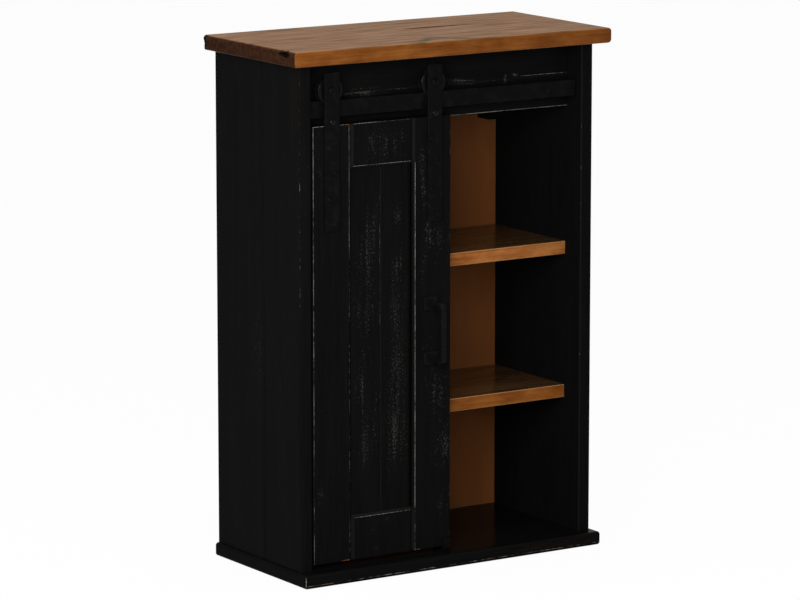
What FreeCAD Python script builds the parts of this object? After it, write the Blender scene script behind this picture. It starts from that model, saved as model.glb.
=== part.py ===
import FreeCAD, Part
import os

# Wall cabinet with one sliding door that hangs from two grooved wheels on a flat iron track.
# Millimetres. X runs to the right, Y to the back, Z up.
# The origin is the centre of the underside of the bottom board.

Vector = FreeCAD.Vector

# Carcass
overall_height = 700.0
opening_width = 422.0
side_depth = 208.0
side_thickness = 18.0
side_edge_radius = 2.5
side_seam_setback = 88.0
side_seam_depth = 0.8

top_thickness = 20.0
top_side_overhang = 18.0
top_front_overhang = 18.0
top_edge_radius = 2.5
top_end_radius = 5.0

bottom_thickness = 18.0
bottom_side_overhang = 5.0
bottom_front_overhang = 20.0
bottom_edge_radius = 4.0

back_thickness = 5.0
back_recess = 1.0
back_rebate_width = 8.0
back_edge_clearance = 0.5

header_thickness = 18.0
header_board_count = 2
header_board_height = 43.5
header_setback = 32.0
header_arris = 1.5

# Shelves and their pins
shelf_thickness = 18.0
shelf_setback = 35.0
shelf_bay_height = 178.0
shelf_end_clearance = 0.5
shelf_back_clearance = 0.5
shelf_edge_radius = 1.5
pin_radius = 2.5
pin_depth_in_side = 9.0
pin_pad_length = 8.0
pin_pad_width = 7.0
pin_pad_thickness = 1.6
pin_inset = 28.0

# Wall-hanging blocks
block_width = 30.0
block_depth = 26.0
block_height = 60.0
block_top_gap = 61.0
block_arris = 1.5
block_screw_spacing = 36.0
wall_screw_hole_radius = 3.0

# Sliding door
door_thickness = 18.0
door_setback = 6.0
door_rest_gap = 5.5
door_middle_lap = 7.0
door_floor_gap = 6.0
door_track_gap = 10.0
frame_width = 59.0
frame_chamfer = 3.5
frame_arris = 1.0
panel_thickness = 8.0
panel_recess = 5.0
panel_groove_depth = 10.0
panel_groove_clearance = 0.1
panel_end_clearance = 1.0
panel_seam_arris = 1.0
panel_tongue_length = 4.0
panel_tongue_thickness = 2.6

# Track bar and its fixings
track_height = 22.0
track_thickness = 5.0
track_rise = 16.0
track_end_gap = 2.0
track_arris = 0.6
track_bolt_inset = 43.0
track_bolt_height = 10.0
track_bolt_radius = 3.0
track_bolt_head_radius = 4.5
track_bolt_head_height = 2.0
track_bolt_grip = 13.0
standoff_radius = 5.0

# Wheels
wheel_tread_radius = 12.7
wheel_flange_radius = 18.5
wheel_flange_root = 2.5
wheel_flange_rim = 1.7
wheel_groove_width = 6.5
wheel_arris = 0.6
wheel_dish_depth = 0.9
wheel_hub_radius = 8.5
wheel_dish_radius = 14.5
wheel_rolling_gap = 0.3
wheel_side_play = 0.2
bush_wall = 2.0
bush_press_clearance = 0.02
axle_radius = 4.0
axle_running_clearance = 0.05
axle_head_radius = 6.0
axle_head_height = 3.0
axle_tail = 1.2
washer_radius = 7.5
washer_thickness = 1.0
axle_nut_flats = 13.0
axle_nut_height = 5.0

# Hanger straps
strap_width = 22.5
strap_thickness = 3.0
strap_corner_radius = 3.0
strap_arris = 0.5
left_strap_inset = 28.5
right_strap_inset = 26.0
strap_top_margin = 24.0
strap_end_margin = 8.5
strap_screw_count = 4
strap_screw_pitch = 33.5
strap_screw_stagger = 4.4
strap_screw_radius = 2.0
strap_screw_head_radius = 4.5
strap_screw_head_height = 2.2
strap_screw_grip = 13.0
keeper_rise = 5.0
keeper_radius = 2.5
keeper_head_radius = 4.5
keeper_head_height = 2.4
keeper_tail = 1.0
keeper_nut_flats = 8.0
keeper_nut_height = 3.5

# Pull handle
handle_span = 82.0
handle_projection = 34.0
handle_bar_width = 8.0
handle_bar_depth = 9.5
handle_leg_height = 9.0
handle_bend_radius = 9.0
handle_inner_bend_radius = 4.5
handle_arris = 1.2
handle_inset = 32.0
handle_height = 292.0
foot_width = 20.0
foot_height = 17.5
foot_thickness = 2.5
foot_arris = 0.8
handle_screw_radius = 2.0
handle_screw_head_radius = 4.0
handle_screw_head_height = 2.0
handle_screw_grip = 14.0

# Floor guide
guide_width = 12.0
guide_thickness = 2.5
guide_clearance = 1.0
guide_height = 16.5
guide_bend_radius = 2.0
guide_corner_radius = 2.0
guide_screw_radius = 1.5
guide_screw_head_radius = 2.8
guide_screw_length = 13.0
guide_screw_spacing = 9.0

# Hidden joinery
dowel_radius = 4.0
dowel_end_room = 1.0
top_dowel_in_top = 12.0
top_dowel_in_side = 24.0
top_dowel_setbacks = (75.0, 165.0)
header_dowel_in_side = 10.0
header_dowel_in_header = 22.0
bottom_screw_radius = 2.2
bottom_screw_head_radius = 4.5
bottom_screw_length = 55.0
bottom_screw_recess = 0.5
bottom_screw_setbacks = (50.0, 160.0)
block_screw_radius = 2.0
block_screw_head_radius = 4.0
block_screw_grip = 12.0
nail_radius = 0.9
nail_head_radius = 2.4
nail_head_height = 0.7
nail_length = 18.0
nail_count = 5
nail_end_margin = 30.0
fastener_clearance = 0.05
bolt_hole_clearance = 0.2
head_rim_share = 0.35
head_crown_share = 0.55

# Places that follow from the sizes
half_opening = opening_width / 2
outer_half = half_opening + side_thickness
bottom_depth = side_depth + bottom_front_overhang
back_y = bottom_depth / 2
front_y = back_y - side_depth
floor_z = bottom_thickness
side_top_z = overall_height - top_thickness
back_front_y = back_y - back_recess - back_thickness
header_bottom_z = side_top_z - header_board_count * header_board_height
header_front_y = front_y + header_setback

track_bottom_z = header_bottom_z + track_rise
track_top_z = track_bottom_z + track_height
track_half_length = half_opening - track_end_gap
track_bolt_x = track_half_length - track_bolt_inset
track_bolt_z = track_bottom_z + track_bolt_height

door_left = -half_opening + door_rest_gap
door_right = door_middle_lap
door_bottom_z = floor_z + door_floor_gap
door_top_z = track_bottom_z - door_track_gap
door_front_y = front_y + door_setback
door_back_y = door_front_y + door_thickness
panel_front_y = door_front_y + panel_recess
panel_back_y = panel_front_y + panel_thickness
frame_left = door_left + frame_width
frame_right = door_right - frame_width
frame_bottom_z = door_bottom_z + frame_width
frame_top_z = door_top_z - frame_width

wheel_thickness = 2 * wheel_flange_root + wheel_groove_width
wheel_front_y = door_front_y + washer_thickness + wheel_side_play
wheel_back_y = wheel_front_y + wheel_thickness
wheel_z = track_top_z + wheel_rolling_gap + wheel_tread_radius
bush_bore_radius = axle_radius + axle_running_clearance
bush_radius = bush_bore_radius + bush_wall
track_front_y = wheel_front_y + wheel_thickness / 2 - track_thickness / 2
track_back_y = track_front_y + track_thickness
rear_washer_y = wheel_back_y + wheel_side_play
axle_nut_y = rear_washer_y + washer_thickness

strap_xs = (door_left + left_strap_inset, door_right - right_strap_inset)
strap_front_y = door_front_y - strap_thickness
strap_top_z = wheel_z + strap_top_margin
keeper_z = door_top_z + keeper_rise
strap_screw_zs = [keeper_z - strap_screw_pitch * (step + 1) for step in range(strap_screw_count)]
strap_bottom_z = strap_screw_zs[-1] - strap_end_margin

handle_x = door_right - handle_inset
handle_z = door_bottom_z + handle_height
handle_leg_zs = [handle_z + side * (handle_span - handle_leg_height) / 2 for side in (-1, 1)]

block_top_z = side_top_z - block_top_gap
block_bottom_z = block_top_z - block_height
block_x = half_opening - block_width / 2
block_y = back_front_y - block_depth / 2
block_z = (block_top_z + block_bottom_z) / 2
block_screw_zs = [block_z + side * block_screw_spacing / 2 for side in (-1, 1)]

shelf_bottom_zs = {"lower": floor_z + shelf_bay_height}
shelf_bottom_zs["upper"] = shelf_bottom_zs["lower"] + shelf_thickness + shelf_bay_height
shelf_front_y = front_y + shelf_setback
shelf_back_y = back_front_y - shelf_back_clearance

FRONT = Vector(0, -1, 0)
BACK = Vector(0, 1, 0)
UP = Vector(0, 0, 1)
RIGHT = Vector(1, 0, 0)
CUT_ROOM = 1.0
SAME_PLACE = 1e-5


def box(x, y, z):
    """A box between the low and high limits given for each axis."""
    corner = Vector(min(x), min(y), min(z))
    return Part.makeBox(abs(x[1] - x[0]), abs(y[1] - y[0]), abs(z[1] - z[0]), corner)


def rod(radius, start, end):
    """A round bar from one point to another."""
    run = end.sub(start)
    return Part.makeCylinder(radius, run.Length, start, run)


def edges_in(shape, **planes):
    """The edges of a shape whose ends lie in every plane that is named, such as Y=0."""
    def lies_in(edge):
        return all(abs(getattr(vertex, axis) - place) < SAME_PLACE
                   for vertex in edge.Vertexes for axis, place in planes.items())
    return [edge for edge in shape.Edges if lies_in(edge)]


def turned(profile, start, direction):
    """A solid of revolution from points of radius and distance along its axis."""
    points = [Vector(radius, 0, along) for radius, along in profile]
    face = Part.Face(Part.makePolygon(points + points[:1]))
    solid = face.revolve(Vector(0, 0, 0), UP, 360)
    solid.Placement = FreeCAD.Placement(start, FreeCAD.Rotation(UP, direction))
    return solid


def domed_screw(start, direction, head_radius, head_height, radius, length, grow=0.0):
    """A screw with a low domed head, whose underside lies at the start point."""
    rim = head_rim_share * head_height
    crown = head_crown_share * head_radius
    profile = [(0, -head_height), (crown, -head_height), (head_radius, -rim), (head_radius, 0),
               (radius + grow, 0), (radius + grow, length + grow), (0, length + grow)]
    return turned(profile, start, direction)


def countersunk_screw(start, direction, head_radius, radius, length, grow=0.0):
    """A screw with a flat countersunk head, whose top lies at the start point."""
    cone = head_radius - radius
    profile = [(0, 0), (head_radius + grow, 0), (radius + grow, cone), (radius + grow, length + grow),
               (0, length + grow)]
    return turned(profile, start, direction)


def hex_nut(start, flats, height, bore_radius):
    """A six-sided nut that stands back from its start point, with a flat on top."""
    sides = 6
    corner = flats / 3 ** 0.5
    points = []
    for step in range(sides):
        turn = FreeCAD.Rotation(BACK, 360 / sides * step)
        points.append(start + turn.multVec(Vector(corner, 0, 0)))
    body = Part.Face(Part.makePolygon(points + points[:1])).extrude(BACK * height)
    hole = rod(bore_radius, start - BACK * CUT_ROOM, start + BACK * (height + CUT_ROOM))
    return body.cut(hole)


def top_board():
    half_length = outer_half + top_side_overhang
    front = front_y - top_front_overhang
    board = box((-half_length, half_length), (front, back_y), (side_top_z, overall_height))
    end_edges = []
    for end in (-half_length, half_length):
        end_edges += edges_in(board, X=end, Z=side_top_z) + edges_in(board, X=end, Z=overall_height)
    board = board.makeFillet(top_end_radius, end_edges)
    board = board.makeFillet(top_edge_radius, edges_in(board, Y=front))
    return board.cut(Part.makeCompound(top_dowel_rods(fastener_clearance, dowel_end_room)))


def bottom_board():
    half_length = outer_half + bottom_side_overhang
    front = back_y - bottom_depth
    board = box((-half_length, half_length), (front, back_y), (0, bottom_thickness))
    edges = edges_in(board, Y=front)
    for end in (-half_length, half_length):
        edges += edges_in(board, X=end, Z=0) + edges_in(board, X=end, Z=bottom_thickness)
    board = board.makeFillet(bottom_edge_radius, edges)
    holes = bottom_screw_solids(fastener_clearance) + guide_screw_solids(fastener_clearance)
    mouths = []
    for place in bottom_screw_places():
        mouths.append(rod(bottom_screw_head_radius + fastener_clearance, place - UP * CUT_ROOM, place))
    return board.cut(Part.makeCompound(holes + mouths))


def side(sign):
    """A side board. The sign is -1 on the left and 1 on the right."""
    inner = sign * half_opening
    outer = sign * outer_half
    board = box((inner, outer), (front_y, back_y), (floor_z, side_top_z))
    board = board.makeFillet(side_edge_radius, edges_in(board, X=inner, Y=front_y)
                             + edges_in(board, X=outer, Y=front_y))
    rebate = box((inner, inner + sign * back_rebate_width), (back_front_y, back_y + CUT_ROOM),
                 (floor_z, side_top_z))
    cuts = [rebate, side_seam(outer, sign)]
    cuts += top_dowel_rods(fastener_clearance, dowel_end_room)
    cuts += header_dowel_rods(fastener_clearance, dowel_end_room)
    cuts += bottom_screw_solids(fastener_clearance)
    cuts += pin_shanks(fastener_clearance)
    cuts += block_screw_solids(fastener_clearance)
    cuts += nail_solids(fastener_clearance)
    return board.cut(Part.makeCompound(cuts))


def side_seam(outer, sign):
    """The fine V between two planks of a side, as a tool to cut it."""
    seam_y = front_y + side_seam_setback
    points = [Vector(outer, seam_y - side_seam_depth, floor_z),
              Vector(outer - sign * side_seam_depth, seam_y, floor_z),
              Vector(outer, seam_y + side_seam_depth, floor_z)]
    face = Part.Face(Part.makePolygon(points + points[:1]))
    return face.extrude(UP * (side_top_z - floor_z))


def back_panel():
    half_width = half_opening + back_rebate_width - back_edge_clearance
    panel = box((-half_width, half_width), (back_front_y, back_front_y + back_thickness),
                (floor_z + back_edge_clearance, side_top_z - back_edge_clearance))
    holes = wall_screw_holes() + nail_solids(fastener_clearance)
    return panel.cut(Part.makeCompound(holes))


def header_board(bottom):
    top = bottom + header_board_height
    board = box((-half_opening, half_opening), (header_front_y, header_front_y + header_thickness),
                (bottom, top))
    board = board.makeChamfer(header_arris, edges_in(board, Y=header_front_y))
    cuts = header_dowel_rods(fastener_clearance, dowel_end_room) + track_bolt_solids(fastener_clearance)
    return board.cut(Part.makeCompound(cuts))


def shelf(bottom):
    half_length = half_opening - shelf_end_clearance
    board = box((-half_length, half_length), (shelf_front_y, shelf_back_y),
                (bottom, bottom + shelf_thickness))
    edges = edges_in(board, Y=shelf_front_y, Z=bottom)
    edges += edges_in(board, Y=shelf_front_y, Z=bottom + shelf_thickness)
    return board.makeFillet(shelf_edge_radius, edges)


def pin_places():
    """The points where the pins enter the sides, each with the side it is on."""
    places = []
    for bottom in shelf_bottom_zs.values():
        for sign in (-1, 1):
            for y in (shelf_front_y + pin_inset, shelf_back_y - pin_inset):
                place = Vector(sign * half_opening, y, bottom - pin_pad_thickness - pin_radius)
                places.append((place, sign))
    return places


def pin_shanks(grow=0.0):
    shanks = []
    for place, sign in pin_places():
        tail = RIGHT * sign * (pin_depth_in_side + grow)
        shanks.append(rod(pin_radius + grow, place, place + tail))
    return shanks


def shelf_pins():
    """Spoon pins: a round shank in the side and a web below a flat pad under the shelf."""
    pins = []
    for (place, sign), shank in zip(pin_places(), pin_shanks()):
        tip = place.x - sign * pin_pad_length
        pad_top = place.z + pin_radius + pin_pad_thickness
        pad = box((place.x, tip), (place.y - pin_pad_width / 2, place.y + pin_pad_width / 2),
                  (place.z + pin_radius, pad_top))
        web = [Vector(place.x, place.y - pin_pad_thickness / 2, place.z - pin_radius),
               Vector(place.x, place.y - pin_pad_thickness / 2, pad_top),
               Vector(tip, place.y - pin_pad_thickness / 2, pad_top)]
        web = Part.Face(Part.makePolygon(web + web[:1])).extrude(BACK * pin_pad_thickness)
        pins.append(shank.fuse([pad, web]).removeSplitter())
    return Part.makeCompound(pins)


def wall_screw_holes():
    holes = []
    for sign in (-1, 1):
        start = Vector(sign * block_x, back_front_y - block_depth - CUT_ROOM, block_z)
        holes.append(rod(wall_screw_hole_radius, start, Vector(start.x, back_y, start.z)))
    return holes


def hanger_block(sign):
    """The block in a top back corner that takes the wall screw."""
    inner = sign * (half_opening - block_width)
    front = back_front_y - block_depth
    block = box((inner, sign * half_opening), (front, back_front_y), (block_bottom_z, block_top_z))
    edges = edges_in(block, Y=front, Z=block_bottom_z) + edges_in(block, Y=front, Z=block_top_z)
    edges += edges_in(block, X=inner, Y=front)
    edges += edges_in(block, X=inner, Z=block_bottom_z) + edges_in(block, X=inner, Z=block_top_z)
    block = block.makeChamfer(block_arris, edges)
    return block.cut(Part.makeCompound(wall_screw_holes() + block_screw_solids(fastener_clearance)))


def block_screw_solids(grow=0.0):
    screws = []
    for sign in (-1, 1):
        for z in block_screw_zs:
            start = Vector(sign * (half_opening - block_width), block_y, z)
            screws.append(countersunk_screw(start, RIGHT * sign, block_screw_head_radius,
                                            block_screw_radius, block_width + block_screw_grip, grow))
    return screws


def track_bar():
    bar = box((-track_half_length, track_half_length), (track_front_y, track_back_y),
              (track_bottom_z, track_top_z))
    bar = bar.makeChamfer(track_arris, bar.Edges)
    holes = []
    for place in track_bolt_places():
        holes.append(rod(track_bolt_radius + bolt_hole_clearance, place - BACK * CUT_ROOM,
                         place + BACK * (track_thickness + CUT_ROOM)))
    return bar.cut(Part.makeCompound(holes))


def track_bolt_places():
    return [Vector(sign * track_bolt_x, track_front_y, track_bolt_z) for sign in (-1, 1)]


def track_bolt_solids(grow=0.0):
    length = header_front_y - track_front_y + track_bolt_grip
    return [domed_screw(place, BACK, track_bolt_head_radius, track_bolt_head_height,
                        track_bolt_radius, length, grow) for place in track_bolt_places()]


def track_standoffs():
    """Spacer tubes that hold the track bar clear of the header."""
    tubes = []
    for place in track_bolt_places():
        start = Vector(place.x, track_back_y, place.z)
        end = Vector(place.x, header_front_y, place.z)
        tube = rod(standoff_radius, start, end)
        tubes.append(tube.cut(rod(track_bolt_radius + bolt_hole_clearance, start, end)))
    return Part.makeCompound(tubes)


def floor_guide():
    """A U of bent strip round the foot of the door, screwed to the bottom board."""
    front = door_front_y - guide_clearance - guide_thickness
    back = door_back_y + guide_clearance + guide_thickness
    x = (-guide_width / 2, guide_width / 2)
    top = floor_z + guide_height
    body = box(x, (front, back), (floor_z, top))
    body = body.makeFillet(guide_bend_radius, edges_in(body, Y=front, Z=floor_z)
                           + edges_in(body, Y=back, Z=floor_z))
    slot = box((x[0] - CUT_ROOM, x[1] + CUT_ROOM), (front + guide_thickness, back - guide_thickness),
               (floor_z + guide_thickness, top + CUT_ROOM))
    body = body.cut(slot)
    tab_corners = edges_in(body, X=x[0], Z=top) + edges_in(body, X=x[1], Z=top)
    body = body.makeFillet(guide_corner_radius, tab_corners)
    return body.cut(Part.makeCompound(guide_screw_solids(fastener_clearance)))


def guide_screw_solids(grow=0.0):
    middle = (door_front_y + door_back_y) / 2
    screws = []
    for step in (-1, 1):
        start = Vector(0, middle + step * guide_screw_spacing / 2, floor_z + guide_thickness)
        screws.append(countersunk_screw(start, UP * -1, guide_screw_head_radius, guide_screw_radius,
                                        guide_screw_length, grow))
    return screws


def top_dowel_rods(grow=0.0, end_room=0.0):
    rods = []
    for sign in (-1, 1):
        for setback in top_dowel_setbacks:
            x = sign * (half_opening + side_thickness / 2)
            low = Vector(x, front_y + setback, side_top_z - top_dowel_in_side - end_room)
            high = Vector(x, front_y + setback, side_top_z + top_dowel_in_top + end_room)
            rods.append(rod(dowel_radius + grow, low, high))
    return rods


def header_dowel_rods(grow=0.0, end_room=0.0):
    rods = []
    y = header_front_y + header_thickness / 2
    for sign in (-1, 1):
        for board in range(header_board_count):
            z = header_bottom_z + board * header_board_height + header_board_height / 2
            inner = Vector(sign * (half_opening - header_dowel_in_header - end_room), y, z)
            outer = Vector(sign * (half_opening + header_dowel_in_side + end_room), y, z)
            rods.append(rod(dowel_radius + grow, inner, outer))
    return rods


def bottom_screw_places():
    x = half_opening + side_thickness / 2
    return [Vector(sign * x, front_y + setback, bottom_screw_recess)
            for sign in (-1, 1) for setback in bottom_screw_setbacks]


def bottom_screw_solids(grow=0.0):
    return [countersunk_screw(place, UP, bottom_screw_head_radius, bottom_screw_radius,
                              bottom_screw_length, grow) for place in bottom_screw_places()]


def nail_solids(grow=0.0):
    low = floor_z + nail_end_margin
    step = (side_top_z - nail_end_margin - low) / (nail_count - 1)
    x = half_opening + back_rebate_width / 2
    nails = []
    for sign in (-1, 1):
        for index in range(nail_count):
            start = Vector(sign * x, back_front_y + back_thickness, low + index * step)
            nails.append(domed_screw(start, FRONT, nail_head_radius, nail_head_height, nail_radius,
                                     nail_length, grow))
    return nails


def panel_groove(x, z):
    """The slot for the panel, between limits along X and Z."""
    return box(x, (panel_front_y - panel_groove_clearance, panel_back_y + panel_groove_clearance), z)


def stile(sign):
    """An upright of the door frame. The sign is -1 on the left and 1 on the right."""
    outer = door_left if sign < 0 else door_right
    inner = outer - sign * frame_width
    board = box((outer, inner), (door_front_y, door_back_y), (door_bottom_z, door_top_z))
    board = board.makeChamfer(frame_chamfer, edges_in(board, X=inner, Y=door_front_y))
    board = board.makeChamfer(frame_arris, edges_in(board, X=outer, Y=door_front_y))
    groove = panel_groove((inner - sign * CUT_ROOM, inner + sign * panel_groove_depth),
                          (door_bottom_z - CUT_ROOM, door_top_z + CUT_ROOM))
    cuts = [groove] + strap_screw_solids(fastener_clearance) + handle_screw_solids(fastener_clearance)
    return board.cut(Part.makeCompound(cuts))


def door_rail(outer, sign):
    """A cross piece of the door frame. The sign is 1 at the top and -1 at the bottom."""
    inner = outer - sign * frame_width
    board = box((frame_left, frame_right), (door_front_y, door_back_y), (inner, outer))
    edges = edges_in(board, Y=door_front_y, Z=inner) + edges_in(board, X=frame_left, Y=door_front_y)
    edges += edges_in(board, X=frame_right, Y=door_front_y)
    board = board.makeChamfer(frame_chamfer, edges)
    reach = panel_groove_depth - panel_end_clearance
    tenons = box((frame_left - reach, frame_right + reach), (panel_front_y, panel_back_y), (inner, outer))
    groove = panel_groove((frame_left - panel_groove_depth, frame_right + panel_groove_depth),
                          (inner - sign * CUT_ROOM, inner + sign * panel_groove_depth))
    return board.fuse(tenons).removeSplitter().cut(groove)


def panel_board(sign):
    """Half of the door panel. The left half has the tongue and the right half its groove."""
    reach = panel_groove_depth - panel_end_clearance
    middle = (frame_left + frame_right) / 2
    outer = frame_left - reach if sign < 0 else frame_right + reach
    board = box((outer, middle), (panel_front_y, panel_back_y), (frame_bottom_z - reach, frame_top_z + reach))
    board = board.makeChamfer(panel_seam_arris, edges_in(board, X=middle, Y=panel_front_y))
    tongue_y = panel_front_y + panel_thickness / 2
    grow = panel_groove_clearance if sign > 0 else 0.0
    half_tongue = panel_tongue_thickness / 2 + grow
    tongue = box((middle - CUT_ROOM, middle + panel_tongue_length + grow),
                 (tongue_y - half_tongue, tongue_y + half_tongue),
                 (frame_bottom_z - reach, frame_top_z + reach))
    if sign > 0:
        return board.cut(tongue)
    return board.fuse(tongue).removeSplitter()


def hanger_strap(x):
    """A flat iron strap on the face of the door, drilled for its axle, keeper and screws."""
    half_width = strap_width / 2
    limits = (x - half_width, x + half_width)
    strap = box(limits, (strap_front_y, door_front_y), (strap_bottom_z, strap_top_z))
    corners = []
    for end in limits:
        corners += edges_in(strap, X=end, Z=strap_bottom_z) + edges_in(strap, X=end, Z=strap_top_z)
    strap = strap.makeFillet(strap_corner_radius, corners)
    strap = strap.makeChamfer(strap_arris, edges_in(strap, Y=strap_front_y))
    holes = [strap_hole(x, wheel_z, axle_radius), strap_hole(x, keeper_z, keeper_radius)]
    for place in strap_screw_places(x):
        holes.append(strap_hole(place.x, place.z, strap_screw_radius))
    return strap.cut(Part.makeCompound(holes))


def strap_hole(x, z, radius):
    return rod(radius + bolt_hole_clearance, Vector(x, strap_front_y - CUT_ROOM, z),
               Vector(x, door_front_y + CUT_ROOM, z))


def strap_screw_places(x):
    """Screw points that step down the strap, left and right of its middle by turns."""
    return [Vector(x + strap_screw_stagger * (-1) ** (step + 1), strap_front_y, z)
            for step, z in enumerate(strap_screw_zs)]


def strap_screw_solids(grow=0.0):
    return [domed_screw(place, BACK, strap_screw_head_radius, strap_screw_head_height, strap_screw_radius,
                        strap_thickness + strap_screw_grip, grow)
            for x in strap_xs for place in strap_screw_places(x)]


def axle_bolt(x):
    """The shouldered bolt that a wheel turns on."""
    length = axle_nut_y + axle_nut_height + axle_tail - strap_front_y
    return domed_screw(Vector(x, strap_front_y, wheel_z), BACK, axle_head_radius, axle_head_height,
                       axle_radius, length)


def axle_washers():
    washers = []
    for x in strap_xs:
        for y in (door_front_y, rear_washer_y):
            start = Vector(x, y, wheel_z)
            end = start + BACK * washer_thickness
            hole = rod(bush_bore_radius, start, end)
            washers.append(rod(washer_radius, start, end).cut(hole))
    return Part.makeCompound(washers)


def axle_nuts():
    return Part.makeCompound([hex_nut(Vector(x, axle_nut_y, wheel_z), axle_nut_flats, axle_nut_height,
                                      axle_radius + fastener_clearance) for x in strap_xs])


def keeper_bolts():
    """Bolts under the track bar that keep the wheels from jumping off it."""
    length = track_back_y + keeper_tail - strap_front_y
    return Part.makeCompound([domed_screw(Vector(x, strap_front_y, keeper_z), BACK, keeper_head_radius,
                                          keeper_head_height, keeper_radius, length) for x in strap_xs])


def keeper_nuts():
    return Part.makeCompound([hex_nut(Vector(x, door_front_y, keeper_z), keeper_nut_flats, keeper_nut_height,
                                      keeper_radius + fastener_clearance) for x in strap_xs])


def wheel(x):
    """A grooved wheel: two tapered flanges, a flat tread and a dished face round the hub."""
    bore = bush_radius + bush_press_clearance
    half = [(wheel_hub_radius, 0), (wheel_hub_radius, wheel_dish_depth),
            (wheel_dish_radius, wheel_dish_depth), (wheel_dish_radius, 0),
            (wheel_flange_radius - wheel_arris, 0), (wheel_flange_radius, wheel_arris),
            (wheel_flange_radius, wheel_flange_rim), (wheel_tread_radius, wheel_flange_root)]
    mirrored = [(radius, wheel_thickness - along) for radius, along in reversed(half)]
    profile = [(bore, 0)] + half + mirrored + [(bore, wheel_thickness)]
    return turned(profile, Vector(x, wheel_front_y, wheel_z), BACK)


def wheel_bush(x):
    start = Vector(x, wheel_front_y, wheel_z)
    end = Vector(x, wheel_back_y, wheel_z)
    return rod(bush_radius, start, end).cut(rod(bush_bore_radius, start, end))


def pull_handle():
    """A square bar bent into a U, on two flat feet."""
    x = (handle_x - handle_bar_width / 2, handle_x + handle_bar_width / 2)
    z = (handle_z - handle_span / 2, handle_z + handle_span / 2)
    front = door_front_y - handle_projection
    body = box(x, (front, door_front_y), z)
    body = body.makeFillet(handle_bend_radius, edges_in(body, Y=front, Z=z[0]) + edges_in(body, Y=front, Z=z[1]))
    gap_front = front + handle_bar_depth
    gap = box((x[0] - CUT_ROOM, x[1] + CUT_ROOM), (gap_front, door_front_y + CUT_ROOM),
              (z[0] + handle_leg_height, z[1] - handle_leg_height))
    inner_bends = edges_in(gap, Y=gap_front, Z=z[0] + handle_leg_height)
    inner_bends += edges_in(gap, Y=gap_front, Z=z[1] - handle_leg_height)
    gap = gap.makeFillet(handle_inner_bend_radius, inner_bends)
    body = body.cut(gap)
    body = body.makeFillet(handle_arris, edges_in(body, X=x[0]) + edges_in(body, X=x[1]))
    feet = [handle_foot(leg_z) for leg_z in handle_leg_zs]
    body = body.fuse(feet).removeSplitter()
    return body.cut(Part.makeCompound(handle_screw_solids(fastener_clearance)))


def handle_foot(z):
    x = (handle_x - foot_width / 2, handle_x + foot_width / 2)
    front = door_front_y - foot_thickness
    foot = box(x, (front, door_front_y), (z - foot_height / 2, z + foot_height / 2))
    return foot.makeChamfer(foot_arris, edges_in(foot, Y=front))


def handle_screw_solids(grow=0.0):
    """Screws from the back of the stile into the legs of the handle."""
    length = door_thickness + handle_screw_grip
    return [domed_screw(Vector(handle_x, door_back_y, z), FRONT, handle_screw_head_radius,
                        handle_screw_head_height, handle_screw_radius, length, grow)
            for z in handle_leg_zs]


left_x, right_x = strap_xs
nodes = {
    "top_board": top_board(),
    "bottom_board": bottom_board(),
    "left_side": side(-1),
    "right_side": side(1),
    "back_panel": back_panel(),
    "upper_header_board": header_board(header_bottom_z + header_board_height),
    "lower_header_board": header_board(header_bottom_z),
    "upper_shelf": shelf(shelf_bottom_zs["upper"]),
    "lower_shelf": shelf(shelf_bottom_zs["lower"]),
    "shelf_pins": shelf_pins(),
    "left_hanger_block": hanger_block(-1),
    "right_hanger_block": hanger_block(1),
    "hanger_block_screws": Part.makeCompound(block_screw_solids()),
    "track_bar": track_bar(),
    "track_standoffs": track_standoffs(),
    "track_bolts": Part.makeCompound(track_bolt_solids()),
    "floor_guide": floor_guide(),
    "floor_guide_screws": Part.makeCompound(guide_screw_solids()),
    "top_dowels": Part.makeCompound(top_dowel_rods()),
    "header_dowels": Part.makeCompound(header_dowel_rods()),
    "bottom_screws": Part.makeCompound(bottom_screw_solids()),
    "back_nails": Part.makeCompound(nail_solids()),
    "left_stile": stile(-1),
    "right_stile": stile(1),
    "door_top_rail": door_rail(door_top_z, 1),
    "door_bottom_rail": door_rail(door_bottom_z, -1),
    "left_panel_board": panel_board(-1),
    "right_panel_board": panel_board(1),
    "left_strap": hanger_strap(left_x),
    "right_strap": hanger_strap(right_x),
    "strap_screws": Part.makeCompound(strap_screw_solids()),
    "left_axle_bolt": axle_bolt(left_x),
    "right_axle_bolt": axle_bolt(right_x),
    "axle_washers": axle_washers(),
    "axle_nuts": axle_nuts(),
    "keeper_bolts": keeper_bolts(),
    "keeper_nuts": keeper_nuts(),
    "pull_handle": pull_handle(),
    "handle_screws": Part.makeCompound(handle_screw_solids()),
    "left_wheel": wheel(left_x),
    "right_wheel": wheel(right_x),
    "left_wheel_bush": wheel_bush(left_x),
    "right_wheel_bush": wheel_bush(right_x),
}

os.makedirs("parts", exist_ok=True)
for name, shape in nodes.items():
    shape.exportStep("parts/" + name + ".step")
    volumes = [round(solid.Volume, 1) for solid in shape.Solids]
    print(name, len(volumes), "solids", "valid" if shape.isValid() else "NOT VALID", volumes)
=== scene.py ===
import math
from typing import NamedTuple

import bmesh
import bpy
from bpy.props import FloatProperty, FloatVectorProperty, IntProperty, PointerProperty
from mathutils import Euler, Matrix, Vector, noise


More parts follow.
